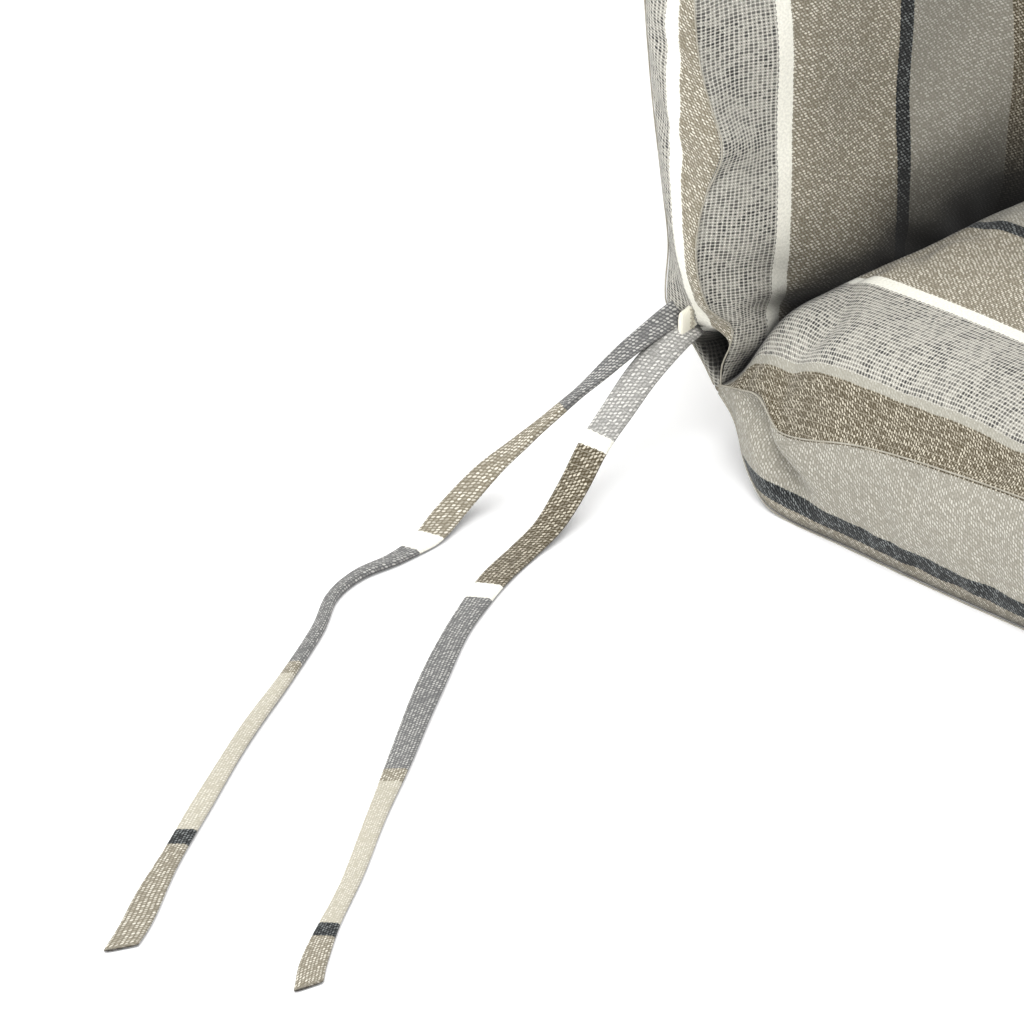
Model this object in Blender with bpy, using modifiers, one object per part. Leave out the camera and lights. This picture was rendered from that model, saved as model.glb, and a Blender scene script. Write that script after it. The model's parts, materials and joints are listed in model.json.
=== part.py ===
"""Folding garden chair cushion: a seat pad and a back pad joined by one sewn fold, with tie tapes.

Metres, +Z up.  The seat pad lies on the ground and points to -Y, the back pad stands up.
Each pad is built in its own (along, across, level) frame, measured from the fold line:
along runs away from the fold, across runs along it, level is the height over the fold line
on the side that faces the sitter.
"""
import math

import bmesh
import bpy
from mathutils import Vector

# Pads, outside sizes
PAD_WIDTH = 0.500
SEAT_DEPTH = 0.480
BACK_HEIGHT = 0.520
CORNER_RADIUS = 0.030
FOLD_WAIST = 0.020        # how far each side is pulled in at the fold
WAIST_LENGTH = 0.070

# Levels over the fold line at the side seams, and how far the faces crown
SEAT_TOP_SEAM = 0.024
SEAT_UNDERSIDE = -0.034
SEAT_CROWN = 0.020
BACK_FRONT_SEAM = 0.009
BACK_REAR = -0.029
BACK_CROWN = 0.010
CROWN_END_SHARE = 0.30    # share of the length over which the crown dies out at the outer end
CROWN_FOLD_SHARE = 0.25   # and at the fold
SEAM_RISE_LENGTH = 0.200  # the top seam rises from the fold over this length
END_SLOPE_LENGTH = 0.045  # the far face slopes away from the fold over this length

# Layers
FABRIC = 0.0010
WADDING = 0.008
LAYER_GAP = 0.0010
SEW_GAP = 0.0003
SIDE_GAP = 0.0015
PANEL_START = 0.0040      # where the panels begin, from the fold line
PANEL_EDGE_HALF = 0.0016  # half of a panel pair's height where they meet the fold
WADDING_START = 0.036
FOAM_START = 0.062
FOAM_INSET = 0.004

# Fold, threads and ties
FOLD_BEAD_RADIUS = 0.0026
THREAD_RADIUS = 0.0006
THREAD_FROM_EDGE = 0.0022
THREAD_START = 0.0200     # the seam threads begin this far from the fold
THREAD_OUT = SEW_GAP * 2 + THREAD_RADIUS
TAPE_RADIUS = 0.0030
TAPE_POINT_STEP = 0.0130
TAPE_EXIT_HEIGHT = 0.034  # over the fold line, on the side of the back pad
TAB_WIDTH = 0.014
TAB_THICKNESS = 0.0060
TAB_LENGTH = 0.012
BARTACK_WIDTH = 0.010

# Mesh density
ALONG_STEPS = 11
CORNER_STEPS = 3
ACROSS_STEPS = 12

HINGE_Z = -SEAT_UNDERSIDE
PAD_REACH = SEAT_DEPTH + THREAD_OUT + THREAD_RADIUS
HINGE_Y = (PAD_REACH + BACK_REAR) / 2


# ---------------------------------------------------------------- pad form
def smooth_step(value):
    t = min(max(value, 0.0), 1.0)
    return t * t * (3 - 2 * t)


class Pad:
    """The outer form of one pad, and its place in the world.

    The panels are straight between their stations, so every form is read at the stations and
    joined by straight lines, and the layers inside keep their gaps.
    """

    def __init__(self, name, length, seam_level, far_level, crown, upright):
        self.name = name
        self.length = length
        self.seam_level = seam_level
        self.far_level = far_level
        self.crown = crown
        self.upright = upright
        self.stations = self.rows(PANEL_START, 0.0)

    def rows(self, start, end_inset):
        """Stations along the pad: closer near the fold, and round the outer corners."""
        straight = self.length - CORNER_RADIUS
        rows = [start + (straight - start) * (i / ALONG_STEPS) ** 2 for i in range(ALONG_STEPS)]
        for i in range(CORNER_STEPS + 1):
            angle = math.pi / 2 * i / CORNER_STEPS
            rows.append(straight + (CORNER_RADIUS - end_inset) * math.sin(angle))
        return rows

    def at_stations(self, form, along):
        """A form's value at along, on the straight line between the two stations around it."""
        last = len(self.stations) - 2
        index = 0
        while index < last and self.stations[index + 1] < along:
            index += 1
        before, after = self.stations[index], self.stations[index + 1]
        share = (along - before) / (after - before)
        return form(before) * (1 - share) + form(after) * share

    def half_width(self, along, inset=0.0):
        """Half of the pad's width: waisted at the fold, rounded at the outer corners."""
        into_corner = along - (self.length - CORNER_RADIUS)
        if into_corner > 0:
            radius = CORNER_RADIUS - inset
            return PAD_WIDTH / 2 - CORNER_RADIUS + math.sqrt(max(radius ** 2 - into_corner ** 2, 0.0))

        def form(station):
            return PAD_WIDTH / 2 - FOLD_WAIST * (1 - smooth_step(station / WAIST_LENGTH))

        return self.at_stations(form, along) - inset

    def seam(self, along):
        """Level of the seam between the near face and the boxing."""
        return self.near(along, PAD_WIDTH)

    def near(self, along, across):
        """Level of the face that is sat on or leant on."""
        side = min(abs(across) / (PAD_WIDTH / 2), 1.0)

        def form(station):
            rise = smooth_step(station / SEAM_RISE_LENGTH)
            edge = PANEL_EDGE_HALF + (self.seam_level - PANEL_EDGE_HALF) * rise
            end = smooth_step((self.length - station) / (self.length * CROWN_END_SHARE))
            fold = smooth_step(station / (self.length * CROWN_FOLD_SHARE))
            return edge + self.crown * (1 - side ** 3) * end * fold

        return self.at_stations(form, along)

    def far(self, along):
        """Level of the face that rests on the chair."""

        def form(station):
            rise = smooth_step(station / END_SLOPE_LENGTH)
            return -PANEL_EDGE_HALF + (self.far_level + PANEL_EDGE_HALF) * rise

        return self.at_stations(form, along)

    def world(self, along, across, level):
        if self.upright:
            return Vector((across, HINGE_Y - level, HINGE_Z + along))
        return Vector((across, HINGE_Y - along, HINGE_Z + level))


SEAT = Pad("seat", SEAT_DEPTH, SEAT_TOP_SEAM, SEAT_UNDERSIDE, SEAT_CROWN, upright=False)
BACK = Pad("back", BACK_HEIGHT, BACK_FRONT_SEAM, BACK_REAR, BACK_CROWN, upright=True)


# ---------------------------------------------------------------- tools
def clear_scene():
    for old in list(bpy.data.objects):
        bpy.data.objects.remove(old, do_unlink=True)


def material(name, colour, roughness):
    made = bpy.data.materials.new(name)
    made.use_nodes = True
    shader = made.node_tree.nodes["Principled BSDF"]
    shader.inputs["Base Color"].default_value = (*colour, 1.0)
    shader.inputs["Roughness"].default_value = roughness
    shader.inputs["Metallic"].default_value = 0.0
    return made


def add_object(name, data, finish):
    made = bpy.data.objects.new(name, data)
    made.data.materials.append(finish)
    PARTS.objects.link(made)
    return made


def sheet_body(name, columns, rows, place, finish):
    """A closed slab made from a grid: place(i, j, side) gives each corner, side 0 below, 1 above."""
    bm = bmesh.new()
    bmesh.ops.create_grid(bm, x_segments=columns - 1, y_segments=rows - 1, size=1.0)
    lower = sorted(bm.verts, key=lambda v: (round(v.co.y, 5), round(v.co.x, 5)))
    grid = {v: (k % columns, k // columns) for k, v in enumerate(lower)}
    spots = {(round(v.co.x, 5), round(v.co.y, 5)): spot for v, spot in grid.items()}
    grown = bmesh.ops.extrude_face_region(bm, geom=list(bm.faces))
    for vert in [g for g in grown["geom"] if isinstance(g, bmesh.types.BMVert)]:
        vert.co.z = 1.0
    for vert in bm.verts:
        column, row = spots[(round(vert.co.x, 5), round(vert.co.y, 5))]
        vert.co = place(column, row, 1 if vert.co.z > 0.5 else 0)
    if bm.calc_volume(signed=True) < 0:
        bmesh.ops.reverse_faces(bm, faces=bm.faces)
    mesh = bpy.data.meshes.new(name)
    bm.to_mesh(mesh)
    bm.free()
    return add_object(name, mesh, finish)


def tube(name, points, radius, finish, closed=False, resolution=1):
    curve = bpy.data.curves.new(name, "CURVE")
    curve.dimensions = "3D"
    curve.bevel_depth = radius
    curve.bevel_resolution = resolution
    curve.use_fill_caps = True
    spline = curve.splines.new("POLY")
    spline.points.add(len(points) - 1)
    for spot, point in zip(spline.points, points):
        spot.co = (*point, 1.0)
    spline.use_cyclic_u = closed
    return add_object(name, curve, finish)


def smooth_route(corners, step):
    """Evenly spaced points on a smooth curve through the route's own points."""
    dense = []
    padded = [corners[0] * 2 - corners[1], *corners, corners[-1] * 2 - corners[-2]]
    for p0, p1, p2, p3 in zip(padded, padded[1:], padded[2:], padded[3:]):
        for k in range(12):
            t = k / 12
            dense.append(0.5 * ((2 * p1) + (p2 - p0) * t + (2 * p0 - 5 * p1 + 4 * p2 - p3) * t ** 2
                                + (3 * p1 - p0 - 3 * p2 + p3) * t ** 3))
    dense.append(corners[-1])
    total = sum((b - a).length for a, b in zip(dense, dense[1:]))
    count = max(round(total / step), 2)
    wanted = [total * k / count for k in range(count + 1)]
    out, run, index = [], 0.0, 0
    for a, b in zip(dense, dense[1:]):
        piece = (b - a).length
        while index < len(wanted) and wanted[index] <= run + piece + 1e-9:
            out.append(a.lerp(b, (wanted[index] - run) / piece))
            index += 1
        run += piece
    return out


# ---------------------------------------------------------------- pad layers
def across_shares():
    """Shares of the half width, closer together towards the sides."""
    middle = ACROSS_STEPS / 2
    return [math.sin(math.pi / 2 * (k - middle) / middle) for k in range(ACROSS_STEPS + 1)]


def layer(pad, name, start, inset, bottom, top, finish):
    """One slab of the pad, from level bottom(along, across) to level top(along, across)."""
    rows = pad.rows(start, inset)
    shares = across_shares()

    def place(column, row, side):
        along = rows[row]
        across = shares[column] * pad.half_width(along, inset)
        level = top(along, across) if side else bottom(along, across)
        return pad.world(along, across, level)

    return sheet_body(name, len(shares), len(rows), place, finish)


def near_panel(pad, name, finish):
    return layer(pad, name, PANEL_START, 0.0,
                 lambda a, b: pad.near(a, b) - FABRIC, pad.near, finish)


def far_panel(pad, name, finish):
    return layer(pad, name, PANEL_START, 0.0,
                 lambda a, b: pad.far(a), lambda a, b: pad.far(a) + FABRIC, finish)


def near_wadding(pad, name, finish):
    outer = FABRIC + LAYER_GAP
    return layer(pad, name, WADDING_START, FABRIC + SIDE_GAP,
                 lambda a, b: pad.near(a, b) - outer - WADDING,
                 lambda a, b: pad.near(a, b) - outer, finish)


def far_wadding(pad, name, finish):
    outer = FABRIC + LAYER_GAP
    return layer(pad, name, WADDING_START, FABRIC + SIDE_GAP,
                 lambda a, b: pad.far(a) + outer,
                 lambda a, b: pad.far(a) + outer + WADDING, finish)


def foam_core(pad, name, finish):
    outer = FABRIC + 2 * LAYER_GAP + WADDING
    return layer(pad, name, FOAM_START, FABRIC + SIDE_GAP + FOAM_INSET,
                 lambda a, b: pad.far(a) + outer,
                 lambda a, b: pad.near(a, b) - outer, finish)


def boxing_wall(pad, name, line, finish):
    """A strip of cloth on edge along line, between the two panels."""

    def inward(along, across):
        """Way into the pad: straight across, but towards the centre of the arc at a corner."""
        into_corner = along - (pad.length - CORNER_RADIUS)
        if into_corner <= 0:
            return Vector((0.0, -math.copysign(1.0, across)))
        centre = max(abs(across) - (PAD_WIDTH / 2 - CORNER_RADIUS), 0.0)
        return Vector((-into_corner, -math.copysign(centre, across))).normalized()

    def place(column, row, side):
        along, across = line[column]
        step = inward(along, across) * (FABRIC if side else 0.0)
        low = pad.far(along) + FABRIC + SEW_GAP
        high = pad.seam(along) - FABRIC - SEW_GAP
        return pad.world(along + step.x, across + step.y, high if row else low)

    return sheet_body(name, len(line), 2, place, finish)


def side_walls(pad, finish):
    for word, sign in (("left", -1), ("right", 1)):
        line = [(row, sign * pad.half_width(row)) for row in pad.rows(PANEL_START, 0.0)]
        boxing_wall(pad, pad.name + "_boxing_" + word, line, finish)


def end_wall(pad, finish):
    half = PAD_WIDTH / 2 - CORNER_RADIUS - SEW_GAP
    steps = 4
    line = [(pad.length, half * (2 * k / steps - 1)) for k in range(steps + 1)]
    boxing_wall(pad, pad.name + "_boxing_end", line, finish)


def seam_thread(pad, name, on_near_side, finish):
    """The sewing thread round three sides of a pad, just outside the boxing."""
    out = THREAD_OUT
    side = []
    for row in pad.rows(PANEL_START, 0.0):
        if row < THREAD_START:
            continue
        into_corner = row - (pad.length - CORNER_RADIUS)
        if into_corner > 0:
            angle = math.asin(min(into_corner / CORNER_RADIUS, 1.0))
            along, across = row + math.sin(angle) * out, pad.half_width(row) + math.cos(angle) * out
        else:
            along, across = row, pad.half_width(row) + out
        level = pad.seam(row) - THREAD_FROM_EDGE if on_near_side else pad.far(row) + THREAD_FROM_EDGE
        side.append((along, across, level))
    points = [pad.world(*spot) for spot in side]
    points += [pad.world(along, -across, level) for along, across, level in reversed(side)]
    return tube(name, points, THREAD_RADIUS, finish)


def build_pad(pad, near_name, far_name):
    near_panel(pad, pad.name + near_name, CLOTH)
    far_panel(pad, pad.name + far_name, CLOTH)
    near_wadding(pad, pad.name + "_wadding_front", WOOL)
    far_wadding(pad, pad.name + "_wadding_rear", WOOL)
    foam_core(pad, pad.name + "_foam_core", FOAM)
    side_walls(pad, CLOTH)
    end_wall(pad, CLOTH)
    seam_thread(pad, pad.name + "_seam_thread_front", True, THREAD)
    seam_thread(pad, pad.name + "_seam_thread_rear", False, THREAD)


# ---------------------------------------------------------------- fold
def fold_binding():
    """The layers sewn together along the fold, rolled into one bead on the fold line."""
    half = PAD_WIDTH / 2 - FOLD_WAIST
    ends = [Vector((-half, HINGE_Y, HINGE_Z)), Vector((half, HINGE_Y, HINGE_Z))]
    return tube("fold_binding", ends, FOLD_BEAD_RADIUS, BINDING, resolution=2)


# ---------------------------------------------------------------- ties
def tie_spot(side):
    """Where the tie tab stands on the side of the back pad, clear of the side over its width."""
    half = BACK.half_width(TAPE_EXIT_HEIGHT + TAB_WIDTH / 2)
    middle_level = (BACK.seam(TAPE_EXIT_HEIGHT) + BACK.far(TAPE_EXIT_HEIGHT)) / 2
    spot = BACK.world(TAPE_EXIT_HEIGHT, side * half, middle_level)
    return spot + Vector((side * (THREAD_OUT + THREAD_RADIUS + SEW_GAP), 0, 0))


def box_body(name, centre, size, finish, bevel=0.0):
    bm = bmesh.new()
    bmesh.ops.create_cube(bm, size=1.0)
    for vert in bm.verts:
        vert.co = centre + Vector((vert.co.x * size[0], vert.co.y * size[1], vert.co.z * size[2]))
    mesh = bpy.data.meshes.new(name)
    bm.to_mesh(mesh)
    bm.free()
    made = add_object(name, mesh, finish)
    if bevel > 0:
        rounded = made.modifiers.new("rounded", "BEVEL")
        rounded.width = bevel
        rounded.segments = 2
    return made


def tie_tab(name, side):
    """The folded middle of the tie, sewn into the side seam."""
    centre = tie_spot(side) + Vector((side * TAB_LENGTH / 2, 0, 0))
    return box_body(name, centre, (TAB_LENGTH, TAB_THICKNESS, TAB_WIDTH), TAPE, bevel=0.0012)


def bartack(name, side):
    """The short thick row of stitches that holds the tab, on its front."""
    centre = tie_spot(side) + Vector((side * TAB_LENGTH / 2,
                                      -TAB_THICKNESS / 2 - SEW_GAP - THREAD_RADIUS, 0))
    return box_body(name, centre, (THREAD_RADIUS * 2.5, THREAD_RADIUS * 2, BARTACK_WIDTH), THREAD)


def tie_route(points):
    """Route points given from the end of the left tab: outward, backward, and height over ground."""
    start = tie_spot(-1) + Vector((-TAB_LENGTH - SEW_GAP, 0, 0))
    return [Vector((start.x - out, start.y + back, height)) for out, back, height in points]


TAPE_LOW = TAPE_RADIUS + 0.0002
TIE_REAR_ROUTE = [
    (0.000, 0.0000, 0.0715), (0.013, 0.0000, 0.0715), (0.028, 0.0045, 0.0640), (0.042, 0.0116, 0.0500),
    (0.055, 0.0208, 0.0310), (0.073, 0.0268, 0.0170), (0.093, 0.0269, 0.0070), (0.114, 0.0219, TAPE_LOW),
    (0.135, 0.0189, TAPE_LOW), (0.156, 0.0189, TAPE_LOW), (0.178, 0.0120, TAPE_LOW),
    (0.203, -0.0046, TAPE_LOW), (0.239, -0.0269, TAPE_LOW), (0.281, -0.0507, TAPE_LOW),
    (0.324, -0.0747, TAPE_LOW), (0.370, -0.1011, TAPE_LOW), (0.401, -0.1184, TAPE_LOW),
    (0.430, -0.1338, TAPE_LOW), (0.449, -0.1427, TAPE_LOW),
]
TIE_FRONT_ROUTE = [
    (0.000, 0.0000, 0.0640), (0.013, 0.0000, 0.0640), (0.027, -0.0044, 0.0540), (0.042, -0.0052, 0.0350),
    (0.056, -0.0070, 0.0160), (0.074, -0.0108, 0.0060), (0.092, -0.0167, TAPE_LOW),
    (0.113, -0.0264, TAPE_LOW), (0.135, -0.0361, TAPE_LOW), (0.169, -0.0505, TAPE_LOW),
    (0.214, -0.0810, TAPE_LOW), (0.262, -0.1138, TAPE_LOW), (0.302, -0.1406, TAPE_LOW),
    (0.344, -0.1696, TAPE_LOW), (0.380, -0.1919, TAPE_LOW), (0.405, -0.2078, TAPE_LOW),
    (0.419, -0.2184, TAPE_LOW),
]


def tie_tape(name, route):
    return tube(name, smooth_route(tie_route(route), TAPE_POINT_STEP), TAPE_RADIUS, TAPE, resolution=2)


# ---------------------------------------------------------------- assembly
clear_scene()
PARTS = bpy.data.collections.new("folding_chair_cushion")
bpy.context.scene.collection.children.link(PARTS)

CLOTH = material("striped_cloth", (0.42, 0.38, 0.31), 0.9)
WOOL = material("wadding", (0.86, 0.86, 0.84), 1.0)
FOAM = material("foam", (0.88, 0.84, 0.66), 0.95)
THREAD = material("sewing_thread", (0.62, 0.59, 0.52), 0.7)
BINDING = material("fold_cloth", (0.30, 0.28, 0.24), 0.9)
TAPE = material("tie_cloth", (0.45, 0.42, 0.37), 0.9)

build_pad(SEAT, "_top_panel", "_underside_panel")
build_pad(BACK, "_front_panel", "_rear_panel")
fold_binding()
for side_name, side_sign in (("left", -1), ("right", 1)):
    tie_tab("tie_tab_" + side_name, side_sign)
    bartack("bartack_" + side_name, side_sign)
tie_tape("tie_rear_left", TIE_REAR_ROUTE)
tie_tape("tie_front_left", TIE_FRONT_ROUTE)
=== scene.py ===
import json
import math

import bmesh
import bpy
import numpy as np
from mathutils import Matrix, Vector, noise


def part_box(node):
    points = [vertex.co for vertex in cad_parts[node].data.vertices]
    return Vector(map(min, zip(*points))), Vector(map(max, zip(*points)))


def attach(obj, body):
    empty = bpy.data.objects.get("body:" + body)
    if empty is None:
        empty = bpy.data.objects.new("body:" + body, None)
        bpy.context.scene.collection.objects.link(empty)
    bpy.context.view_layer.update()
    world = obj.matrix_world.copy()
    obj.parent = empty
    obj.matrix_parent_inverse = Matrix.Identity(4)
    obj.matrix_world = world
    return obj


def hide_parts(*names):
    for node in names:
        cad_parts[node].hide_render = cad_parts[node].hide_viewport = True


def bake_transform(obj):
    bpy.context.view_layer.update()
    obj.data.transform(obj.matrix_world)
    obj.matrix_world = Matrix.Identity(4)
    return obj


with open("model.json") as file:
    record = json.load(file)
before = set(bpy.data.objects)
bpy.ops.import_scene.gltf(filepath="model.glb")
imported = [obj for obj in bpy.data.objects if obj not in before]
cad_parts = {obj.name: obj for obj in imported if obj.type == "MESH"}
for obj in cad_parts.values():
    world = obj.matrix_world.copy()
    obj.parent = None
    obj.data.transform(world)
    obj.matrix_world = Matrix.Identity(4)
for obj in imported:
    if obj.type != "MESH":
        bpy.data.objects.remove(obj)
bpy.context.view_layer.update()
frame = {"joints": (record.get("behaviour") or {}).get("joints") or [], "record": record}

mm = 0.001
foldPoint = Vector(frame["joints"][0]["pos_m"])      # on the fold line, at the middle of the cushion
seatLow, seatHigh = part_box("seat_top_panel")
backLow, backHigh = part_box("back_front_panel")
bindLow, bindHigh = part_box("fold_binding")
padHalf = (seatHigh.x - seatLow.x) / 2 / mm
waistHalf = (bindHigh.x - bindLow.x) / 2 / mm        # the fold is narrower than the pads
seatLength = (foldPoint.y - seatLow.y) / mm
backLength = (backHigh.z - foldPoint.z) / mm
floorGap = 0.4 * mm                                  # cloth lies this much clear of the floor
print("frame read: pads", round(padHalf * 2), "mm wide, seat", round(seatLength), "back", round(backLength))

# stripes in order across the cloth: weave name, width in millimetres
stripePlan = [("brown", 34), ("light", 4.5), ("grey", 52), ("cream", 7.5), ("tan", 64.5), ("black", 8.5),
              ("greige", 60)]
# bands along each tie, from where it is sewn on
frontTiePlan = [("tieGrey", 66), ("cream", 6), ("brown", 94), ("cream", 12), ("slate", 155), ("tan", 12),
                ("tieLight", 122), ("black", 11), ("tan", 90)]
rearTiePlan = [("slate", 68), ("tan", 84), ("cream", 14), ("slate", 118), ("tan", 11), ("tieLight", 139),
               ("black", 12), ("tan", 110)]
# each weave: colour between the flecks, colour of the flecks, and how much of each pattern it shows
weaves = {
    "brown": {"ground": (84, 75, 57), "fleck": (232, 224, 204), "twill": 0.85, "open": 0.0, "runs": 0.5},
    "light": {"ground": (166, 163, 151), "fleck": (208, 205, 194), "twill": 0.7, "open": 0.0, "runs": 0.2},
    "grey": {"ground": (186, 183, 173), "fleck": (250, 248, 240), "twill": 0.0, "open": 1.0, "runs": 0.0},
    "cream": {"ground": (250, 248, 236), "fleck": (255, 254, 248), "twill": 0.2, "open": 0.0, "runs": 0.0},
    "tan": {"ground": (130, 122, 104), "fleck": (250, 245, 230), "twill": 0.9, "open": 0.0, "runs": 0.2},
    "black": {"ground": (5, 8, 11), "fleck": (214, 220, 219), "twill": 0.36, "open": 0.0, "runs": 0.0},
    "greige": {"ground": (145, 141, 129), "fleck": (230, 227, 217), "twill": 0.7, "open": 0.0, "runs": 0.2},
    "tieLight": {"ground": (186, 180, 162), "fleck": (240, 236, 224), "twill": 0.9, "open": 0.0, "runs": 0.3},
    "tieGrey": {"ground": (150, 149, 145), "fleck": (236, 234, 228), "twill": 1.0, "open": 0.0, "runs": 0.5},
    "slate": {"ground": (104, 104, 104), "fleck": (222, 221, 215), "twill": 0.85, "open": 0.0, "runs": 0.0},
}
# twill: slanted flecks, sizes of a cell in millimetres and of the fleck as shares of its cell
twillPlan = {"across": 1.9, "along": 1.3, "wide": 0.38, "tall": 0.42, "slant": 0.5, "edge": (1.15, 0.55),
             "faintest": 0.2, "jitter": 1.6, "rowStep": 0.3}
runPlan = {"every": 3.3, "edge": (0.86, 0.96), "strength": 0.7}      # light threads along the stripe
openPlan = {"across": 2.15, "along": 1.5, "gap": (0.16, 0.36), "edgeAcross": 0.06, "edgeAlong": 0.08,
            "knotAcross": (0.30, 0.44), "knotAlong": (0.28, 0.42), "gapColour": (62, 62, 62)}
clothLook = {"wanderAcross": 0.5, "wanderAlong": -0.8, "brightness": 0.86, "relief": 0.3 * mm,
             "reliefStrength": 0.55, "rough": (0.92, 0.74), "sheen": 0.12, "specular": 0.2}
# how the painted shade darkens the cloth where the pads close on each other: open share at each end of the fade,
# least light
foldShade = {"reach": 0.075, "samples": 8, "narrow": (0.10, 0.52, 0.07), "wide": (0.45, 0.92, 0.05)}


def linear(rgb):
    return [c / 255 / 12.92 if c < 11 else ((c / 255 + 0.055) / 1.055) ** 2.4 for c in rgb] + [1.0]


def smooth(t):
    t = np.clip(t, 0.0, 1.0)
    return t * t * (3 - 2 * t)


def hump(value, middle, wide):
    # 1 at the middle, falling away smoothly on both sides
    return np.exp(-((value - middle) / wide) ** 2)


def profile(points, x):
    # a smooth line through pairs of place and value
    px = np.array([p[0] for p in points], float)
    py = np.array([p[1] for p in points], float)
    slope = np.gradient(py, px)
    x = np.asarray(x, float)
    i = np.clip(np.searchsorted(px, x, side="right") - 1, 0, len(px) - 2)
    step = px[i + 1] - px[i]
    t = np.clip((x - px[i]) / step, 0, 1)
    return ((2 * t ** 3 - 3 * t ** 2 + 1) * py[i] + (t ** 3 - 2 * t ** 2 + t) * step * slope[i]
            + (3 * t ** 2 - 2 * t ** 3) * py[i + 1] + (t ** 3 - t ** 2) * step * slope[i + 1])


def newMaterial(name):
    material = bpy.data.materials.new(name)
    material.use_nodes = True
    return material, material.node_tree, material.node_tree.nodes["Principled BSDF"]


def join(tree, value, socket):
    if isinstance(value, bpy.types.NodeSocket):
        tree.links.new(value, socket)
    else:
        socket.default_value = value


def sums(tree, operation, first, second=0.0, third=0.0):
    node = tree.nodes.new("ShaderNodeMath")
    node.operation = operation
    for socket, value in zip(node.inputs, (first, second, third)):
        join(tree, value, socket)
    return node.outputs[0]


def fade(tree, value, low, high, outLow=0.0, outHigh=1.0):
    node = tree.nodes.new("ShaderNodeMapRange")
    node.interpolation_type = "SMOOTHSTEP"
    for socket, number in zip(node.inputs, (value, low, high, outLow, outHigh)):
        join(tree, number, socket)
    return node.outputs[0]


def blendColour(tree, share, first, second, kind="MIX"):
    node = tree.nodes.new("ShaderNodeMix")
    node.data_type = "RGBA"
    node.blend_type = kind
    join(tree, share, node.inputs[0])
    join(tree, first, node.inputs[6])
    join(tree, second, node.inputs[7])
    return node.outputs[2]


def speckle(tree, vector, scale, detail=2.0):
    node = tree.nodes.new("ShaderNodeTexNoise")
    node.inputs["Scale"].default_value = scale
    node.inputs["Detail"].default_value = detail
    tree.links.new(vector, node.inputs["Vector"])
    return node.outputs["Fac"]


def cellChance(tree, column, row):
    # one chance value for each cell of the weave
    place = tree.nodes.new("ShaderNodeCombineXYZ")
    tree.links.new(sums(tree, "FLOOR", column), place.inputs[0])
    tree.links.new(sums(tree, "FLOOR", row), place.inputs[1])
    chance = tree.nodes.new("ShaderNodeTexWhiteNoise")
    chance.noise_dimensions = "2D"
    tree.links.new(place.outputs[0], chance.inputs[0])
    return chance.outputs[0]


def fromMiddle(tree, cell):
    # place inside a cell, -0.5 to 0.5
    return sums(tree, "SUBTRACT", sums(tree, "FRACT", cell), 0.5)


def addRelief(tree, shader, height, strength, distance):
    bump = tree.nodes.new("ShaderNodeBump")
    bump.inputs["Strength"].default_value = strength
    bump.inputs["Distance"].default_value = distance
    tree.links.new(height, bump.inputs["Height"])
    tree.links.new(bump.outputs[0], shader.inputs["Normal"])


def stripeRamp(tree, place, plan, colours):
    node = tree.nodes.new("ShaderNodeValToRGB")
    node.color_ramp.interpolation = "CONSTANT"
    stops = node.color_ramp.elements
    stops.remove(stops[-1])
    total, start = sum(width for _, width in plan), 0
    for number, (name, width) in enumerate(plan):
        stop = stops[0] if number == 0 else stops.new(start / total)
        stop.position = start / total
        stop.color = colours(weaves[name])
        start += width
    tree.links.new(place, node.inputs[0])
    return node.outputs[0]


def twillFlecks(tree, cloth, across, along, oddRow):
    # slanted flecks, every second row half a cell over, some fainter than others
    jittered = sums(tree, "MULTIPLY_ADD", speckle(tree, cloth, 420.0, 0.0), twillPlan["jitter"], across)
    column = sums(tree, "MULTIPLY_ADD", oddRow, 0.5, sums(tree, "DIVIDE", jittered, twillPlan["across"]))
    row = sums(tree, "DIVIDE", along, twillPlan["along"])
    inAcross, inAlong = fromMiddle(tree, column), fromMiddle(tree, row)
    leaning = sums(tree, "MULTIPLY_ADD", inAlong, twillPlan["slant"], inAcross)
    slanted = sums(tree, "DIVIDE", leaning, twillPlan["wide"])
    upright = sums(tree, "DIVIDE", inAlong, twillPlan["tall"])
    squares = sums(tree, "MULTIPLY_ADD", slanted, slanted, sums(tree, "MULTIPLY", upright, upright))
    fleck = fade(tree, sums(tree, "SQRT", squares), *twillPlan["edge"])
    chance = fade(tree, cellChance(tree, column, row), 0.0, 1.0, twillPlan["faintest"], 1.0)
    return sums(tree, "MULTIPLY", fleck, chance)


def openWeave(tree, cloth, across, along):
    # dark gaps between crossing light threads, and a light knot where threads cross
    column = sums(tree, "DIVIDE", across, openPlan["across"])
    row = sums(tree, "DIVIDE", along, openPlan["along"])
    inAcross = sums(tree, "ABSOLUTE", fromMiddle(tree, column))
    inAlong = sums(tree, "ABSOLUTE", fromMiddle(tree, row))
    size = fade(tree, cellChance(tree, column, row), 0.0, 1.0, *openPlan["gap"])
    edgeAcross, edgeAlong = openPlan["edgeAcross"], openPlan["edgeAlong"]
    gap = sums(tree, "MULTIPLY", fade(tree, sums(tree, "SUBTRACT", inAcross, size), edgeAcross, -edgeAcross),
               fade(tree, sums(tree, "SUBTRACT", inAlong, size), edgeAlong, -edgeAlong))
    gap = sums(tree, "MULTIPLY", gap, fade(tree, speckle(tree, cloth, 60.0), 0.35, 0.65, 0.72, 1.0))
    knot = sums(tree, "MULTIPLY", fade(tree, inAcross, *openPlan["knotAcross"]),
                fade(tree, inAlong, *openPlan["knotAlong"]))
    return gap, knot


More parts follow.
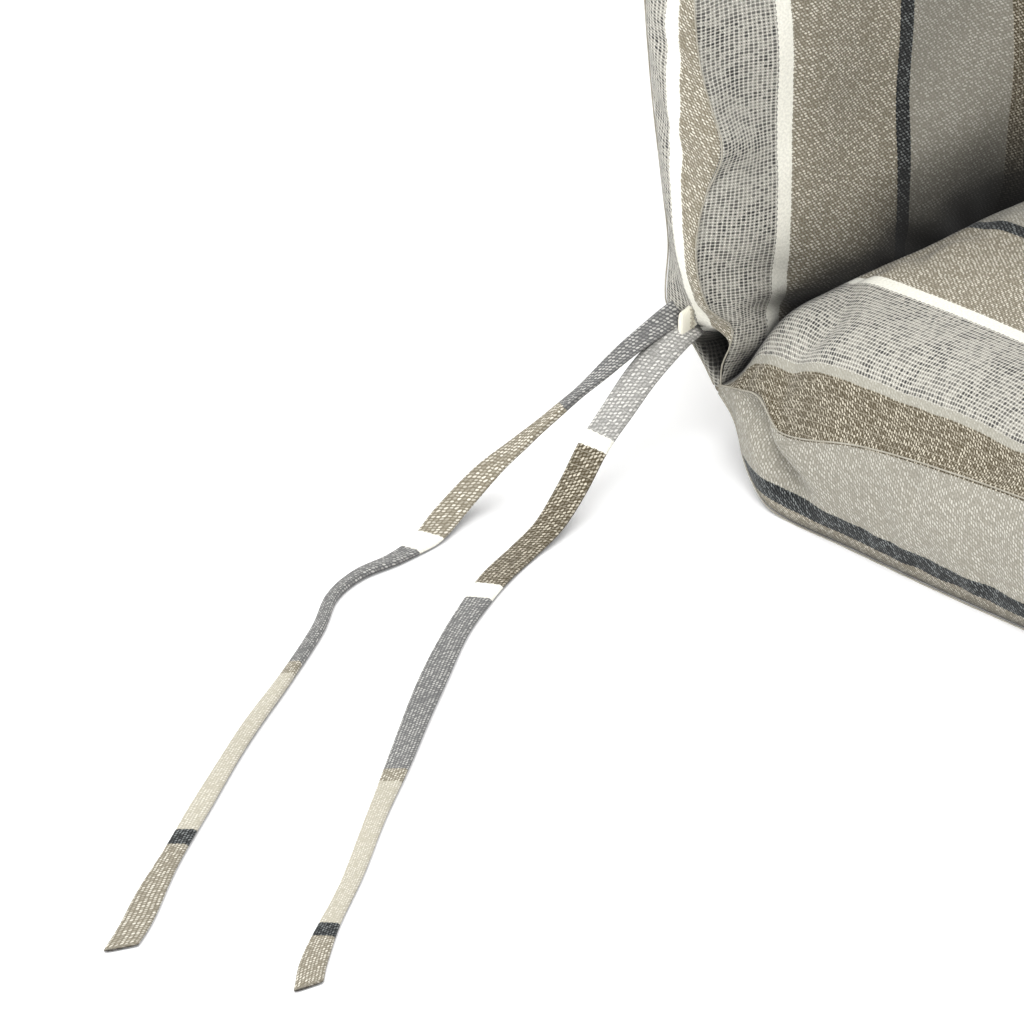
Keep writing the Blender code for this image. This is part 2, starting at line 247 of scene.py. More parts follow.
def paintedFoldShade(tree):
    # painted shade: the colour is darkened where the ambient occlusion finds the pads close on each other, so it
    # goes when the fold is opened
    closed = tree.nodes.new("ShaderNodeAmbientOcclusion")
    closed.samples = foldShade["samples"]
    closed.inputs["Distance"].default_value = foldShade["reach"]
    paintedShadeMask = tree.nodes.new("ShaderNodeAttribute")
    paintedShadeMask.attribute_name = "paintedShadeMask"
    narrow = fade(tree, closed.outputs["AO"], *foldShade["narrow"])
    wide = fade(tree, closed.outputs["AO"], *foldShade["wide"])
    return sums(tree, "MULTIPLY_ADD", paintedShadeMask.outputs["Fac"], sums(tree, "SUBTRACT", wide, narrow), narrow)


def stripedCloth(name, plan):
    material, tree, shader = newMaterial(name)
    clothMap = tree.nodes.new("ShaderNodeUVMap")
    clothMap.uv_map = "fabric"
    cloth = clothMap.outputs[0]
    parts = tree.nodes.new("ShaderNodeSeparateXYZ")
    tree.links.new(cloth, parts.inputs[0])
    # millimetres across and along the cloth, wandering so that no row runs dead straight
    wander = speckle(tree, cloth, 90.0)
    across = sums(tree, "MULTIPLY_ADD", parts.outputs[0], 1 / mm,
                  sums(tree, "MULTIPLY", wander, clothLook["wanderAcross"]))
    along = sums(tree, "MULTIPLY_ADD", parts.outputs[1], 1 / mm,
                 sums(tree, "MULTIPLY", wander, clothLook["wanderAlong"]))
    row = sums(tree, "FLOOR", sums(tree, "DIVIDE", along, twillPlan["along"]))
    oddRow = sums(tree, "MODULO", sums(tree, "ABSOLUTE", row), 2.0)
    # stripes, with edges that step from row to row
    stepped = sums(tree, "MULTIPLY_ADD", oddRow, twillPlan["rowStep"], across)
    place = sums(tree, "FRACT", sums(tree, "DIVIDE", stepped, sum(width for _, width in plan)))
    ground = stripeRamp(tree, place, plan, lambda weave: linear(weave["ground"]))
    fleckColour = stripeRamp(tree, place, plan, lambda weave: linear(weave["fleck"]))
    shares = tree.nodes.new("ShaderNodeSeparateXYZ")
    shareRamp = stripeRamp(tree, place, plan, lambda weave: (weave["twill"], weave["open"], weave["runs"], 1))
    tree.links.new(shareRamp, shares.inputs[0])
    twillShare, openShare, runShare = shares.outputs
    # flecks, runs and knots are light, gaps are dark
    fleck = sums(tree, "MULTIPLY", twillFlecks(tree, cloth, across, along, oddRow), twillShare)
    runLine = fade(tree, sums(tree, "FRACT", sums(tree, "DIVIDE", across, runPlan["every"])), *runPlan["edge"])
    run = sums(tree, "MULTIPLY", sums(tree, "MULTIPLY", runLine, runShare), runPlan["strength"])
    gap, knot = openWeave(tree, cloth, across, along)
    knot, hole = sums(tree, "MULTIPLY", knot, openShare), sums(tree, "MULTIPLY", gap, openShare)
    raised = sums(tree, "MAXIMUM", sums(tree, "MAXIMUM", fleck, run), knot)
    colour = blendColour(tree, raised, ground, fleckColour)
    colour = blendColour(tree, hole, colour, linear(openPlan["gapColour"]))
    # uneven dyeing and slubs, and the painted shade where the pads close on each other
    brightness = clothLook["brightness"]
    soil, grain = speckle(tree, cloth, 9.0, 4.0), speckle(tree, cloth, 900.0, 1.0)
    tone = sums(tree, "MULTIPLY", fade(tree, soil, 0.3, 0.7, 0.95 * brightness, 1.04 * brightness),
                fade(tree, grain, 0.25, 0.75, 0.90, 1.08))
    # painted shade in the fold darkens the cloth colour
    tone = sums(tree, "MULTIPLY", tone, paintedFoldShade(tree))
    shade = tree.nodes.new("ShaderNodeCombineXYZ")
    for socket in shade.inputs:
        tree.links.new(tone, socket)
    colour = blendColour(tree, 1.0, colour, shade.outputs[0], "MULTIPLY")
    tree.links.new(colour, shader.inputs["Base Color"])
    tree.links.new(fade(tree, raised, 0.0, 1.0, *clothLook["rough"]), shader.inputs["Roughness"])
    height = sums(tree, "SUBTRACT", sums(tree, "MULTIPLY_ADD", grain, 0.3, raised), hole)
    addRelief(tree, shader, height, clothLook["reliefStrength"], clothLook["relief"])
    shader.inputs["Sheen Weight"].default_value = clothLook["sheen"]
    shader.inputs["Sheen Roughness"].default_value = 0.5
    shader.inputs["Specular IOR Level"].default_value = clothLook["specular"]
    return material


def plainCloth(name, rgb, fleckRgb):
    # narrow folded edges, tabs and threads: fine twisted threads
    material, tree, shader = newMaterial(name)
    place = tree.nodes.new("ShaderNodeTexCoord")
    threads = tree.nodes.new("ShaderNodeTexWave")
    threads.inputs["Scale"].default_value = 420.0
    threads.inputs["Distortion"].default_value = 2.5
    tree.links.new(place.outputs["Object"], threads.inputs["Vector"])
    blot = speckle(tree, place.outputs["Object"], 260.0, 3.0)
    share = sums(tree, "MULTIPLY", threads.outputs["Fac"], blot)
    tree.links.new(blendColour(tree, share, linear(rgb), linear(fleckRgb)), shader.inputs["Base Color"])
    tree.links.new(fade(tree, blot, 0.2, 0.8, 0.75, 0.95), shader.inputs["Roughness"])
    addRelief(tree, shader, share, 0.4, 0.2 * mm)
    shader.inputs["Sheen Weight"].default_value = 0.1
    shader.inputs["Specular IOR Level"].default_value = 0.2
    return material


padCloth = stripedCloth("striped woven cloth", stripePlan)
frontTieCloth = stripedCloth("front tie cloth", frontTiePlan)
rearTieCloth = stripedCloth("rear tie cloth", rearTiePlan)
rollCloth = plainCloth("rolled seam cloth", (152, 147, 134), (192, 188, 176))
tabCloth = plainCloth("tab cloth", (226, 222, 206), (250, 248, 238))
threadCloth = plainCloth("sewing thread", (168, 162, 146), (214, 209, 196))
foldCloth = plainCloth("fold cloth", (120, 112, 96), (168, 160, 142))
print("cloth materials made")

# what a user would change on each pad, in millimetres: seams and outlines are pairs of distance from the fold
# and height or width there; the near side faces whoever sits on the cushion, the far side is the other one
seatPad = {
    "length": seatLength,
    "nearSeam": [(0, 1.6), (12, 4.0), (34, 8.7), (41, 5.6), (48, 2.6), (56, 3.6), (68, 6.6), (95, 13.5),
                 (126, 18.6), (160, 22), (198, 24.3), (300, 25), (900, 25)],
    "nearOut": [(0, 0), (12, 1.2), (34, 9.3), (48, 15.3), (68, 20), (90, 20), (145, 22), (300, 22), (400, 20),
                (900, 20)],
    "farSeam": [(0, -1.6), (15, -9), (29, -20), (46, -31), (63, -33.7), (90, -33.7), (900, -33.7)],
    "farOut": [(0, 0), (15, 5.2), (29, 14), (46, 19.5), (63, 20.8), (90, 21.5), (140, 24), (300, 24), (400, 20),
               (900, 20)],
    "level": 23.5, "crown": 16.5, "crownReach": 27, "farCrown": 0, "seamReach": 16,
    "foldRound": 25,
    "foldShape": [(0, 0), (0.23, 0.26), (0.456, 0.52), (0.572, 0.66), (0.632, 0.79), (0.72, 0.89), (0.84, 0.96),
                  (1, 1), (1.1, 1), (1.2, 1), (40, 1)],
    "endRound": 80, "uneven": 2.2, "unevenSlant": 0.25, "unevenSeed": 1.3, "puckerSeed": 3.1,
    # the wrinkle crosses the stripes beside the notch, and the pleat runs from the notch down the strip
    "wrinkle": {"deep": 2.6, "from": 40, "slant": 0.12, "wide": 8},
    "pleat": {"deep": 11.0, "ridge": 2.5, "from": 26, "long": 60, "wide": 0.13},
    "wallBulge": 5, "panelStart": 15.5, "wallStart": 153.5, "wallLevel": -34, "farStart": 110,
}
backPad = {
    "length": backLength,
    "nearSeam": [(0, 1.6), (12, 3.3), (23, 8), (33, 9.5), (42, 8.5), (60, 6.5), (74, 6), (95, 8.5), (121, 17),
                 (135, 12.5), (150, 7.5), (180, 4.5), (220, 4), (260, 4), (900, 4)],
    "nearOut": [(0, 0), (12, 1), (23, 1), (33, 2), (38, 8), (42, 12.8), (51, 17), (74, 20), (95, 18), (121, 16),
                (150, 18), (180, 20), (220, 20), (900, 20)],
    "farSeam": [(0, -1.6), (12, -8), (22, -13), (30, -16.5), (40, -18), (61, -18.5), (100, -20.5), (176, -24.5),
                (240, -28), (300, -29), (900, -29)],
    "farOut": [(0, 0), (12, 2), (22, 5), (30, 9), (37, 12.5), (48, 12.5), (61, 11), (90, 13), (130, 17),
               (176, 19.5), (220, 20), (900, 20)],
    "level": 6, "crown": 9, "crownReach": 20, "farCrown": 4.5, "seamReach": 18,
    "foldRound": 29,
    "foldShape": [(0, 0), (0.345, 0.35), (0.69, 0.72), (0.86, 0.92), (1, 1), (1.1, 1), (1.2, 1), (40, 1)],
    "endRound": 60, "uneven": 5.0, "unevenSlant": 0.75, "unevenSeed": 5.9, "puckerSeed": 7.7,
    "hollow": {"deep": 49.6, "from": 24, "long": 9.5, "down": 0.27, "wide": 0.22},    # in the strip by the fold
    "dimple": {"deep": 2.5, "from": 78, "long": 9, "down": 0.95, "wide": 0.12},
    "swell": {"high": 2.0, "from": 120, "long": 45},
    "turnedIn": {"by": 26, "upTo": 32, "over": 8},       # the strip's stripes at the pinch
    "stripDrift": {"low": 5, "lowUpTo": 125, "lowOver": 50, "high": 2, "highFrom": 130, "highOver": 60},
    "wallBulge": 4, "panelStart": 55, "wallStart": 72.5, "wallLevel": -24.5, "farStart": 20,
}
padGrid = {
    "cornerRound": 30, "sidePull": 3, "wallRows": 7, "foldRows": 8, "firstAngle": 14, "longRows": 80,
    "sideColumns": [0.0, 2.2, 5.5, 10.0, 15.5, 21.5, 28.0, 35.0, 42.5, 50.5], "column": 7.5, "middleGap": 14,
    "heldNearFold": 110, "heldShare": 0.8, "heldRows": 8,
}


# below, a is the distance from the fold, s the distance in from the side seam, x the place along the fold,
# all in millimetres, and w the share of the way from the near seam to the far seam

def outline(pad, a, which):
    # half width at a distance from the fold: narrow at the fold, pulled in along the side, round at the corner
    half = waistHalf + profile(pad[which], a) * (padHalf - waistHalf) / 20
    length, corner = pad["length"], padGrid["cornerRound"]
    half = half - padGrid["sidePull"] * np.sin(np.pi * np.clip((a - 200) / (length - 230), 0, 1))
    into = np.clip(a - (length - corner), 0, corner)
    return half - (corner - np.sqrt(np.maximum(corner ** 2 - into ** 2, 0)))


def ripple(x, y, seed, size):
    # soft unevenness from -1 to 1
    flat = np.ravel(np.broadcast_arrays(x, y)[0]), np.ravel(np.broadcast_arrays(x, y)[1])
    values = [noise.noise(Vector((u / size, v / size, seed))) for u, v in zip(*flat)]
    return np.array(values).reshape(np.broadcast(x, y).shape)


def foldDepth(pad, s):
    # how far from the fold line the panel reaches its full height
    return pad["foldRound"] * (0.45 + 0.55 * (1 - np.exp(-(s / 30) ** 1.2)))


def nearHeight(pad, a, s, x):
    length = pad["length"]
    seamShare = np.exp(-(s / pad["seamReach"]) ** 2)
    crown = pad["crown"] * (1 - np.exp(-(s / pad["crownReach"]) ** 1.3))
    endIn = np.sqrt(1 - (1 - np.clip((length - a) / pad["endRound"], 0, 1)) ** 2)
    foldIn = profile(pad["foldShape"], a / foldDepth(pad, s))
    height = profile(pad["nearSeam"], a) * seamShare + ((1 - seamShare) * pad["level"] + crown * endIn) * foldIn
    # puckers along the seam and soft unevenness of the filling
    pucker = ripple(a, x * 0.25, pad["puckerSeed"], 11) * 1.3 * np.exp(-s / 16) * np.clip(s / 4, 0, 1)
    slant = pad["unevenSlant"]
    uneven = ripple(x - slant * a, a * 0.8 + slant * x, pad["unevenSeed"], 62) * pad["uneven"]
    uneven = uneven * np.clip(s / 60, 0, 1) * foldIn * endIn
    if "wrinkle" in pad:
        wrinkle = pad["wrinkle"]
        line = hump(a, wrinkle["from"] + wrinkle["slant"] * s, wrinkle["wide"])
        uneven = uneven - wrinkle["deep"] * line * smooth(s / 12) * smooth((75 - s) / 50)
    return height + pucker * smooth((a - 20) / 40) + uneven


def farHeight(pad, a, s):
    crown = pad["farCrown"] * (1 - np.exp(-(s / 45) ** 1.15)) * smooth(a / 90)
    return profile(pad["farSeam"], a) - crown * smooth((pad["length"] - a) / 60)


def dent(plan, a, w):
    return plan["deep"] * hump(a, plan["from"], plan["long"]) * hump(w, plan["down"], plan["wide"])


def wallOut(pad, a, w, high):
    # how far a point of the side strip stands out from the line between its two seams
    bulge = pad["wallBulge"] * (4 * w * (1 - w)) ** 0.8 * smooth(a / 60) * np.clip(high / 40, 0, 1.4)
    if pad is seatPad:
        pleat = pad["pleat"]
        line = 0.02 + 0.52 * np.clip((a - pleat["from"]) / pleat["long"], 0, 1)
        valley = hump(w, line, pleat["wide"]) * smooth((a - 22) / 16) * smooth((92 - a) / 30)
        ridge = hump(w, line - 0.24, 0.12) * smooth((a - 36) / 16) * smooth((110 - a) / 40)
        return bulge - pleat["deep"] * valley + pleat["ridge"] * ridge
    swell = pad["swell"]["high"] * hump(a, pad["swell"]["from"], pad["swell"]["long"]) * 4 * w * (1 - w)
    return bulge + swell - dent(pad["hollow"], a, w) - dent(pad["dimple"], a, w)


def worldPoint(pad, x, a, h):
    if pad is seatPad:
        return np.stack([x * mm, foldPoint.y - a * mm, foldPoint.z + h * mm], -1)
    return np.stack([x * mm, foldPoint.y - h * mm, foldPoint.z + a * mm], -1)


def lengthsAlong(points, axis):
    steps = np.linalg.norm(np.diff(points, axis=axis), axis=-1)
    margins = [(0, 0)] * steps.ndim
    margins[axis] = (1, 0)
    return np.cumsum(np.pad(steps, margins), axis=axis)


def unitRows(vectors):
    return vectors / np.linalg.norm(vectors, axis=1)[:, None]


def linkPiece(name, mesh, material):
    mesh.materials.append(material)
    piece = bpy.data.objects.new(name, mesh)
    bpy.context.scene.collection.objects.link(piece)
    return piece


def makePanels(pad):
    # both panels as rows from the fold and columns from side to side, the columns closer near the sides
    fromSide = list(padGrid["sideColumns"])
    while fromSide[-1] < padHalf - padGrid["middleGap"]:
        fromSide.append(fromSide[-1] + padGrid["column"])
    share = 1 - np.array(fromSide) / padHalf
    columns = np.concatenate([-share, [0.0], share[::-1]])
    inFromSide = (1 - np.abs(columns)) * padHalf
    # rows: round the fold by angle, then along the pad
    angles = np.radians(np.linspace(padGrid["firstAngle"], 90, padGrid["foldRows"]))
    goes = np.linspace(0, 1, padGrid["longRows"])[1:] ** 1.15

    def rowPlaces(depth):
        first = depth * (1 - np.cos(angles)[:, None])
        return np.concatenate([first, depth + (pad["length"] - depth) * goes[:, None]], 0)

    near = {"a": rowPlaces(foldDepth(pad, inFromSide)[None, :]), "inFromSide": inFromSide}
    far = {"a": rowPlaces(np.full((1, len(columns)), float(pad["foldRound"])))}
    for panel, which in ((near, "nearOut"), (far, "farOut")):
        half = outline(pad, panel["a"], which)
        panel["x"], panel["s"] = columns * half, half * (1 - np.abs(columns))
    nearUp = nearHeight(pad, near["a"], near["s"], near["x"])
    near["points"] = worldPoint(pad, near["x"], near["a"], nearUp)
    far["points"] = worldPoint(pad, far["x"], far["a"], farHeight(pad, far["a"], far["s"]))
    return near, far


def edge(grid):
    # the edge of a panel, from the fold down the left side, along the end and back up the right side
    return np.concatenate([grid[:, 0], grid[-1, 1:-1], grid[::-1, -1]])


def makeStrip(pad, near, far):
    # the side strip, as rows from the near seam to the far seam
    nearLine, farLine, a, x = edge(near["points"]), edge(far["points"]), edge(far["a"]), edge(far["x"])
    rows, width = near["a"].shape
    around = np.roll(nearLine, -1, 0) - np.roll(nearLine, 1, 0)
    around[0], around[-1] = nearLine[1] - nearLine[0], nearLine[-1] - nearLine[-2]
    upAxis = np.array([0, 0, 1.0]) if pad is seatPad else np.array([0, -1.0, 0])
    outward = unitRows(np.cross(around, upAxis))
    if outward[rows // 2][0] > 0:
        outward = -outward
    high = np.linalg.norm(nearLine - farLine, axis=1) / mm
    onSide = np.concatenate([np.ones(rows), np.zeros(width - 2), np.ones(rows)]) > 0
    shares = np.linspace(0, 1, padGrid["wallRows"] + 2)[1:-1]
    wall = []
    for w in shares:
        endOut = pad["wallBulge"] * (4 * w * (1 - w)) ** 0.8
        out = np.where(onSide, wallOut(pad, a, w, high), endOut) * mm
        ruffle = ripple(a + x * 0.7, w * high, 11.3, 17) * 0.9 * 4 * w * (1 - w)
        out = out + ruffle * mm * smooth(a / 50)
        wall.append(nearLine * (1 - w) + farLine * w + outward * out[:, None])
    points = np.concatenate([nearLine[None], np.stack(wall, 0), farLine[None]], 0)
    middle = (nearLine + farLine)[None] / 2
    return {"points": points, "a": a, "shares": shares, "onSide": onSide, "middle": middle}


def stripPlaces(pad, strip):
    # the strip's own place in the stripe order, which follows its lower seam
    a = strip["a"]
    up = lengthsAlong(strip["points"][::-1], 0)[::-1] + pad["wallStart"] * mm
    up = up + (profile(pad["farSeam"], a) - pad["wallLevel"]) * mm
    if "turnedIn" in pad:
        turned, drift = pad["turnedIn"], pad["stripDrift"]
        up = up - turned["by"] * mm * smooth((turned["upTo"] - a) / turned["over"])
        low = drift["low"] * smooth((drift["lowUpTo"] - a) / drift["lowOver"])
        up = up - (low - drift["high"] * smooth((a - drift["highFrom"]) / drift["highOver"])) * mm
    return up, np.broadcast_to(lengthsAlong(strip["middle"], 1), up.shape)


def panelPlaces(panel, start, firstRow):
    # the stripes run straight, so they are laid out from the middle and the seams cut through them
    across = lengthsAlong(panel["points"], 1)
    toMiddle = across[:, across.shape[1] // 2]
    return across - toMiddle[:, None] + np.median(toMiddle[firstRow:]) + start * mm


def paintedShadeWeights(pad, near, strip, farCount):
    # how strongly the painted shade darkens the cloth: where the back pad closes on the seat pad, and in the
    # hollow beside the pinch
    nearShadeWeight = np.zeros(near["a"].shape)
    wallShadeWeight = np.zeros((len(strip["shares"]), len(strip["a"])))
    if pad is backPad:
        nearShadeWeight = smooth((110 - near["a"]) / 40) * smooth((near["inFromSide"][None, :] - 12) / 24)
        fromHollow = ((strip["a"][None, :] - 20) / 12) ** 2 + ((strip["shares"][:, None] - 0.4) / 0.45) ** 2
        wallShadeWeight = np.minimum(1.5 * np.exp(-fromHollow), 1)
    return np.concatenate([nearShadeWeight.ravel(), np.zeros(farCount), wallShadeWeight.ravel()])


def makePad(name, pad):
    near, far = makePanels(pad)
    strip = makeStrip(pad, near, far)
    rows, width = near["a"].shape
    nearId = np.arange(rows * width).reshape(rows, width)
    farId = nearId + rows * width
    wall = strip["points"][1:-1]
    wallId = farId.max() + 1 + np.arange(wall.shape[0] * wall.shape[1]).reshape(wall.shape[:2])
    nearEdge, farEdge = edge(nearId), edge(farId)
    faces, places = [], []

    def addGrid(ids, across, along, flip):
        for i in range(ids.shape[0] - 1):
            for j in range(ids.shape[1] - 1):
                corners = [(i, j), (i + 1, j), (i + 1, j + 1), (i, j + 1)]
                if flip:
                    corners.reverse()
                faces.append([int(ids[c]) for c in corners])
                places.extend((across[c], along[c]) for c in corners)

    acrossNear = panelPlaces(near, pad["panelStart"], rows // 3)
    alongNear = lengthsAlong(near["points"], 0) + near["a"][:1] * mm
    addGrid(nearId, acrossNear, alongNear, False)
    addGrid(farId, panelPlaces(far, pad["farStart"], 0), lengthsAlong(far["points"], 0), True)
    addGrid(np.concatenate([nearEdge[None], wallId, farEdge[None]], 0), *stripPlaces(pad, strip), False)
    foldAlong = np.stack([alongNear[0], alongNear[0] - 4 * mm])
    addGrid(np.stack([nearId[0], farId[0]]), np.stack([acrossNear[0], acrossNear[0]]), foldAlong, True)

    mesh = bpy.data.meshes.new(name)
    points = np.concatenate([grid.reshape(-1, 3) for grid in (near["points"], far["points"], wall)])
    points[:, 2] = np.maximum(points[:, 2], floorGap)
    mesh.from_pydata(points.tolist(), [], faces)
    # weights for the painted shade in the fold, kept on the mesh
    paintedShadeMask = paintedShadeWeights(pad, near, strip, farId.size).astype(np.float32)
    mesh.attributes.new("paintedShadeMask", "FLOAT", "POINT").data.foreach_set("value", paintedShadeMask)
    mesh.uv_layers.new(name="fabric").data.foreach_set("uv", np.array(places, np.float32).ravel())
    mesh.update()
    bm = bmesh.new()
    bm.from_mesh(mesh)
    bmesh.ops.recalc_face_normals(bm, faces=bm.faces)
    if bm.calc_volume(signed=True) < 0:
        bmesh.ops.reverse_faces(bm, faces=bm.faces)
    bm.to_mesh(mesh)
    bm.free()
    mesh.shade_smooth()
    piece = linkPiece(name, mesh, padCloth)
    seams = {"front": points[nearEdge], "rear": points[farEdge]}
    # seams and fold are held, the seat's underside rests on the floor, and the cloth beside the fold is stiffer
    resting = [farId.ravel()] if pad is seatPad else []
    held = np.unique(np.concatenate([nearEdge, farEdge, nearId[0], farId[0]] + resting))
    besideFold = (strip["a"] < padGrid["heldNearFold"]) & strip["onSide"]
    partly = np.concatenate([wallId[:, besideFold].ravel(), nearId[1:padGrid["heldRows"]].ravel()])
    return piece, seams, held, partly


# the cover is cut a little larger than its seams and the filling presses it out
puffPlan = {"quality": 5, "mass": 0.3, "stretch": 18, "shear": 6, "bend": 0.4, "pressure": 3.0, "spare": -0.018,
            "frames": 16, "most": 5.0}


def puffUp(piece, held, partly):
    before = np.array([v.co for v in piece.data.vertices])
    group = piece.vertex_groups.new(name="held")
    group.add([int(k) for k in held], 1.0, "REPLACE")
    group.add([int(k) for k in partly], padGrid["heldShare"], "REPLACE")
    cloth = piece.modifiers.new("cloth", "CLOTH")
    settings = cloth.settings
    settings.quality = puffPlan["quality"]
    settings.mass = puffPlan["mass"]
    settings.tension_stiffness = settings.compression_stiffness = puffPlan["stretch"]
    settings.shear_stiffness, settings.bending_stiffness = puffPlan["shear"], puffPlan["bend"]
    settings.use_pressure, settings.uniform_pressure_force = True, puffPlan["pressure"]
    settings.shrink_min = puffPlan["spare"]
    settings.vertex_group_mass = "held"
    settings.effector_weights.gravity = 0
    cloth.collision_settings.use_collision = False
    scene = bpy.context.scene
    scene.frame_start, scene.frame_end = 1, puffPlan["frames"]
    cloth.point_cache.frame_start, cloth.point_cache.frame_end = 1, puffPlan["frames"]
    for number in range(1, puffPlan["frames"] + 1):
        scene.frame_set(number)
    pressed = piece.evaluated_get(bpy.context.evaluated_depsgraph_get())
    after = np.array([v.co for v in pressed.to_mesh().vertices])
    pressed.to_mesh_clear()
    piece.modifiers.remove(cloth)
    piece.vertex_groups.clear()
    scene.frame_set(1)
    move = after - before
    size = np.linalg.norm(move, axis=1)
    typical, largest = round(float(np.median(size) / mm), 1), round(float(size.max() / mm), 1)
    print(piece.name, "puffed up by", typical, "to", largest)
    move *= (np.minimum(size, puffPlan["most"] * mm) / np.maximum(size, 1e-9))[:, None]
    piece.data.vertices.foreach_set("co", (before + move).astype(np.float32).ravel())
    piece.data.update()


def addSubdivision(piece, levels=1):
    subdivision = piece.modifiers.new("soft", "SUBSURF")
    subdivision.levels = subdivision.render_levels = levels
    subdivision.uv_smooth = "NONE"


def ringFaces(rings, sides):
    # faces between rings of points, and a cap at each end
    ids = np.arange(rings * sides).reshape(rings, sides)
    turned = np.roll(ids, -1, 1)
    walls = np.stack([ids[:-1], turned[:-1], turned[1:], ids[1:]], -1).reshape(-1, 4)
    return walls.tolist() + [ids[0][::-1].tolist(), ids[-1].tolist()]


def makeRings(name, points, faces, material):
    mesh = bpy.data.meshes.new(name)
    mesh.from_pydata(np.asarray(points).reshape(-1, 3).tolist(), [], faces)
    mesh.shade_smooth()
    return linkPiece(name, mesh, material)


def tubeAlong(name, points, radius, material, sides=8):
    points = np.asarray(points, float)
    tangent = unitRows(np.gradient(points, axis=0))
    guide = np.array([0.37, 0.21, 0.9])      # slanted to every seam, so that the tube never twists
    first = unitRows(np.cross(tangent, guide))
    second = np.cross(tangent, first)
    rings = [points + radius * (math.cos(t) * first + math.sin(t) * second)
             for t in np.linspace(0, 2 * math.pi, sides, endpoint=False)]
    return makeRings(name, np.stack(rings, 1), ringFaces(len(points), sides), material)


def evenPoints(points, step):
    points = np.asarray(points, float)
    far = lengthsAlong(points, 0)
    places = np.linspace(0, far[-1], max(2, int(round(far[-1] / step)) + 1))
    return np.stack([np.interp(places, far, points[:, k]) for k in range(3)], 1)


rollPlan = {"radius": 0.36, "step": 3.0}      # the rolled edge along each seam
nodesOf = frame["record"]["behaviour"]["bodies"]
for body, name, pad in (("seat", "seat_cover", seatPad), ("back", "back_cover", backPad)):
    cover, seams, held, partly = makePad(name, pad)
    puffUp(cover, held, partly)
    addSubdivision(cover)
    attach(cover, body)
    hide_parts(*[n for n in nodesOf[body] if n.startswith(body + "_") and "thread" not in n])
    for side, line in seams.items():
        roll = tubeAlong(f"{body}_seam_roll_{side}", evenPoints(line, rollPlan["step"] * mm),
                         rollPlan["radius"] * mm, rollCloth)
        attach(roll, body)
        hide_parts(f"{body}_seam_thread_{side}")
    print(name, "built")

# ties: routes in metres out from the tab, back from it and up from the floor; width, thickness and roll in
# millimetres and degrees at distances along the tie
tabLow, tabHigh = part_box("tie_tab_left")
tabMiddle = (tabLow + tabHigh) / 2
tieStart = Vector((tabLow.x - 0.3 * mm, tabMiddle.y, 0.0))
tapeLow = 1.8 * mm                           # middle of the tape where it lies on the floor
rearTie = {
    "name": "tie_rear", "node": "tie_rear_left", "cloth": rearTieCloth, "length": 0.545,
    "route": [(-0.019, 0.0010, 0.0700), (-0.006, 0.0020, 0.0670), (0.012, 0.0045, 0.0600),
              (0.030, 0.0080, 0.0500), (0.045, 0.0140, 0.0390), (0.058, 0.0208, 0.0280),
              (0.073, 0.0268, 0.0170), (0.093, 0.0269, 0.0070), (0.114, 0.0219, tapeLow),
              (0.135, 0.0189, tapeLow), (0.156, 0.0189, tapeLow),
              (0.178, 0.0120, tapeLow), (0.203, -0.0046, tapeLow), (0.241, -0.0251, tapeLow),
              (0.285, -0.0471, tapeLow), (0.328, -0.0711, tapeLow), (0.374, -0.0977, tapeLow),
              (0.404, -0.1154, tapeLow), (0.431, -0.1326, tapeLow), (0.449, -0.1427, tapeLow)],
    "width": [(0, 11), (20, 9), (45, 7.5), (62, 5), (74, 6), (110, 12.5), (150, 13), (170, 9), (195, 6.5),
              (280, 6), (310, 7), (410, 9), (455, 9.5), (500, 12), (600, 11)],
    "thick": [(0, 3), (40, 2.6), (65, 4.5), (110, 2.4), (155, 2.6), (195, 4), (280, 4), (330, 3), (455, 2.4),
              (600, 2.2)],
    "roll": [(0, 55), (40, 30), (65, 10), (110, 8), (160, 0), (600, 0)],
}
frontTie = {
    "name": "tie_front", "node": "tie_front_left", "cloth": frontTieCloth, "length": 0.53,
    "route": [(-0.020, -0.0030, 0.0640), (-0.008, -0.0035, 0.0610), (0.010, -0.0030, 0.0510),
              (0.027, -0.0044, 0.0400), (0.042, -0.0052, 0.0290), (0.056, -0.0070, 0.0160),
              (0.074, -0.0108, 0.0060), (0.094, -0.0147, tapeLow), (0.117, -0.0224, tapeLow),
              (0.139, -0.0326, tapeLow), (0.170, -0.0492, tapeLow), (0.216, -0.0787, tapeLow),
              (0.264, -0.1114, tapeLow), (0.304, -0.1382, tapeLow), (0.346, -0.1672, tapeLow),
              (0.382, -0.1896, tapeLow), (0.406, -0.2060, tapeLow), (0.420, -0.2175, tapeLow)],
    "width": [(0, 12), (30, 14), (75, 13.5), (165, 12.5), (175, 12), (290, 11.8), (335, 10), (470, 9),
              (495, 10.5), (600, 10)],
    "thick": [(0, 3.2), (60, 2.8), (180, 2.6), (600, 2.4)],
    "roll": [(0, 40), (40, 25), (90, 6), (150, 0), (600, 0)],
}
tapePlan = {"step": 2.5, "sides": 16, "waver": 0.03, "endSlant": 4.5, "endLong": 12, "diameter": 0.0125}


def smoothRoute(points, step):
    # an even line of points on a smooth curve through the route
    points = [Vector(p) for p in points]
    ends = [points[0] * 2 - points[1]] + points + [points[-1] * 2 - points[-2]]
    fine = []
    for p0, p1, p2, p3 in zip(ends, ends[1:], ends[2:], ends[3:]):
        for k in range(20):
            t = k / 20
            fine.append(0.5 * (2 * p1 + (p2 - p0) * t + (2 * p0 - 5 * p1 + 4 * p2 - p3) * t ** 2
                               + (3 * p1 - p0 - 3 * p2 + p3) * t ** 3))
    fine.append(points[-1])
    return evenPoints(np.array(fine), step)


